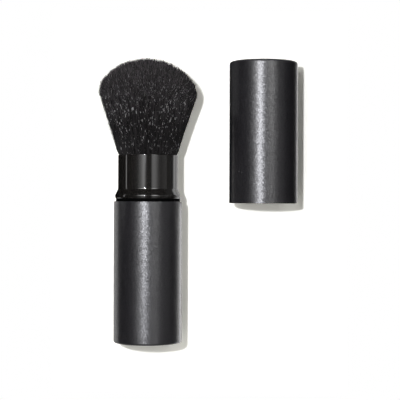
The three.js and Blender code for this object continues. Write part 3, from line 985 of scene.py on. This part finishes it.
def build_cards():
    """Black and dim cards keep the table out of the reflections.

    White ones draw the collar's line and the bright right limbs.
    """
    table = FLOOR_LEVEL
    card("left_flag", -48 * MM, table, 31 * MM, -0.2, 0.3)
    card("right_flag", 106 * MM, table, 22 * MM, -0.2, 0.3)
    card("handle_right_card", 46 * MM, table, 12 * MM, -0.06, 0.05)
    card("handle_limb_card", 20 * MM, table, -4.5 * MM, -0.012, 0.0545, glow=2.4, seen_from=-1)
    card("handle_limb_edge", 20 * MM, -4.5 * MM, -1.5 * MM, -0.012, 0.0545, glow=1.1, seen_from=-1)
    card("cap_right_card", 74.5 * MM, table, 18 * MM, 0.035, 0.13, blocks_fill=True)
    card("cap_limb_card", 62 * MM, table, -4.5 * MM, 0.055, 0.1105, glow=2.9, seen_from=-1)
    card("cap_left_far_card", 31.4 * MM, table, 8.5 * MM, 0.09, 0.2, glow=0.12, seen_from=1)
    card("cap_left_card", 31.4 * MM, table, 3 * MM, 0.045, 0.16, seen_from=1)
    card("collar_right_card", 31 * MM, -3.2 * MM, 13.2 * MM, 0.0565, 0.08, glow=0.08, seen_from=-1)
    card("collar_limb_edge", 31 * MM, -5.5 * MM, -3.2 * MM, 0.0565, 0.08, glow=0.55, seen_from=-1)
    card("collar_limb_card", 31 * MM, table, -5.5 * MM, 0.0565, 0.08, glow=1.25, seen_from=-1)
    card("collar_card", -13.3 * MM, table, 6.8 * MM, 0.0565, 0.078)
    card("collar_line", -46 * MM, 7.0 * MM, 11.0 * MM, 0.05, 0.082, glow=1.3)


def build_roof():
    """The curved diffuser over the table, brighter in two long bands and towards the far end."""
    bpy.ops.object.select_all(action="DESELECT")
    bpy.ops.mesh.primitive_plane_add(size=ROOF_LENGTH, location=(SUBJECT.x, SUBJECT.y, 0))
    roof = bpy.context.object
    roof.name = "roof"
    bpy.ops.object.mode_set(mode="EDIT")
    bpy.ops.mesh.select_all(action="SELECT")
    bpy.ops.mesh.subdivide(number_cuts=ROOF_CUTS)
    bpy.ops.object.mode_set(mode="OBJECT")
    low, high = ROOF_BANDS[0][0], ROOF_BANDS[-1][0]
    for vertex in roof.data.vertices:
        share = vertex.co.x / ROOF_LENGTH + 0.5
        angle = math.radians(low + (high - low) * share)
        vertex.co.x = ROOF_RADIUS * math.sin(angle)
        vertex.co.z = ROOF_RADIUS * math.cos(angle)
    roof.visible_camera = False
    roof.visible_shadow = False
    material, nodes, links, shader = new_material("roof_diffuser")
    nodes.remove(shader)
    place = nodes.new("ShaderNodeSeparateXYZ")
    links.new(object_coordinates(nodes), place.inputs["Vector"])
    turned = arithmetic(nodes, links, "ARCTAN2", place.outputs["X"], place.outputs["Z"])
    along = remap(nodes, links, turned, math.radians(low), math.radians(high), 0.0, 1.0)
    ramp = strength_ramp(nodes, links, along, ROOF_BANDS, ROOF_FULL)
    strength = arithmetic(nodes, links, "MULTIPLY", ramp, ROOF_FULL)
    near_end, far_end = ROOF_ROWS[0][0], ROOF_ROWS[-1][0]
    lengthwise = remap(nodes, links, place.outputs["Y"], near_end, far_end, 0.0, 1.0)
    rows = strength_ramp(nodes, links, lengthwise, ROOF_ROWS, ROOF_ROW_FULL)
    fade = arithmetic(nodes, links, "MULTIPLY", rows, ROOF_ROW_FULL)
    aside = arithmetic(nodes, links, "ABSOLUTE", turned, 0.0)
    plain_from, plain_at = math.radians(ROOF_PLAIN_FROM), math.radians(ROOF_PLAIN_AT)
    most = remap(nodes, links, aside, plain_from, plain_at, ROOF_ROW_FULL, 1.0)
    fade = arithmetic(nodes, links, "MINIMUM", fade, most)
    diffuse = nodes.new("ShaderNodeLightPath").outputs["Is Diffuse Ray"]
    softer = remap(nodes, links, diffuse, 0.0, 1.0, ROOF_ROW_FULL, ROOF_SOFTEST)
    fade = arithmetic(nodes, links, "MINIMUM", fade, softer)
    edge = ROOF_FILL_EDGE
    fill = remap(nodes, links, place.outputs["Y"], -edge, edge, ROOF_FILL, 0.0)
    fill = arithmetic(nodes, links, "MULTIPLY", fill, diffuse)
    fade = arithmetic(nodes, links, "MAXIMUM", fade, fill)
    strength = arithmetic(nodes, links, "MULTIPLY", strength, fade)
    glow = nodes.new("ShaderNodeEmission")
    links.new(strength, glow.inputs["Strength"])
    links.new(glow.outputs["Emission"], nodes["Material Output"].inputs["Surface"])
    material.cycles.emission_sampling = "NONE"
    dress(roof, material)


def build_key():
    """A small soft box, up and to the left, which draws the shadows."""
    data = bpy.data.lights.new("key", "AREA")
    data.shape = "SQUARE"
    data.size = KEY_SIZE
    data.energy = KEY_WATTS
    data.color = KEY_COLOUR
    lamp = bpy.data.objects.new("key", data)
    aim = (SUBJECT - KEY_PLACE).normalized()
    side = Vector((0, 1, 0)).cross(-aim).normalized()
    up = (-aim).cross(side)
    turned = Matrix((side, up, -aim)).transposed().to_4x4()
    lamp.matrix_world = Matrix.Translation(KEY_PLACE) @ turned
    bpy.context.scene.collection.objects.link(lamp)


def build_world():
    """Dim, slightly warm light from all round."""
    world = bpy.data.worlds.new("studio")
    bpy.context.scene.world = world
    world.use_nodes = True
    background = world.node_tree.nodes["Background"]
    background.inputs["Color"].default_value = WORLD_COLOUR


def build_camera():
    """The camera, straight above the table."""
    data = bpy.data.cameras.new("camera")
    data.sensor_width = SENSOR_WIDTH_MM
    data.lens = data.sensor_width * FOCAL_PIXELS / FRAME_PIXELS
    data.clip_start = CLIP_NEAR
    data.clip_end = CLIP_FAR
    camera = bpy.data.objects.new("camera", data)
    half = FRAME_PIXELS / 2
    camera.location = (
        (half - AXIS_PIXEL_X) * PIXEL,
        (BASE_PIXEL_Y - half) * PIXEL,
        FOCAL_PIXELS * PIXEL,
    )
    camera.rotation_euler = (0, 0, math.radians(YAW_DEGREES))
    bpy.context.scene.collection.objects.link(camera)
    bpy.context.scene.camera = camera


build_floor()
build_cards()
build_roof()
build_key()
build_world()
build_camera()
bpy.context.scene.view_settings.view_transform = "Standard"
bpy.context.scene.cycles.sample_clamp_indirect = INDIRECT_LIMIT
